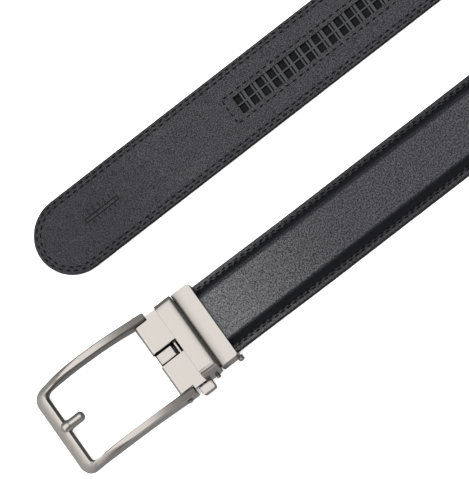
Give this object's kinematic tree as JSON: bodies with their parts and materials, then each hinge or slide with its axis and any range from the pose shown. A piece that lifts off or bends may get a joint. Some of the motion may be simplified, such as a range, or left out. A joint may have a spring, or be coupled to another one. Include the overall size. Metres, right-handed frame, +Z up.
{
  "type": "ratchet slide belt",
  "caption": "Padded leather belt with a toothed rack in its tail and an open-frame ratchet buckle with a fixed false prong, laid in one bend.",
  "frame": {"origin": "centre of the whole belt's footprint, on the surface that it lies on", "axes": "+X along the strap away from the buckle, +Y towards the tail leg, +Z up"},
  "size_m": [0.63, 0.1266, 0.0351],
  "materials": {
    "front_leather": "fine creased grain, semi-gloss black",
    "liner_leather": "fine grain, matte charcoal black",
    "rack_plastic": "smooth moulded black",
    "satin_metal": "satin warm grey plated zinc",
    "pin_steel": "turned steel, plated like the buckle"
  },
  "bodies": {
    "root": {"strap_front": "front_leather", "strap_liner": "liner_leather", "ratchet_rack": "rack_plastic", "strap_clamp": "satin_metal", "clamp_pin_near": "pin_steel", "clamp_pin_far": "pin_steel"},
    "ratchet": {"ratchet_body": "satin_metal", "swivel_pin": "pin_steel", "pawl_shaft": "pin_steel", "return_spring": "pin_steel"},
    "frame": {"buckle_frame": "satin_metal", "false_prong": "satin_metal", "frame_pin_near": "pin_steel", "frame_pin_far": "pin_steel"},
    "pawl": {"pawl_lever": "satin_metal"}
  },
  "joints": [
    {"name": "clamp_swivel", "type": "hinge", "parent": "root", "child": "ratchet", "pos_m": [-0.24516, -0.02309, 0.0019], "axis": [0, 1, 0], "range_deg": [-40, 2]},
    {"name": "frame_hinge", "type": "hinge", "parent": "ratchet", "child": "frame", "pos_m": [-0.26095, -0.02309, 0.0036], "axis": [0, 1, 0], "range_deg": [-12, 85]},
    {"name": "pawl_hinge", "type": "hinge", "parent": "ratchet", "child": "pawl", "pos_m": [-0.25205, -0.02309, 0.003], "axis": [0, 1, 0], "range_deg": [-12, 0], "stiffness_Nm_per_rad": 0.05, "springref_deg": 2.86}
  ]
}
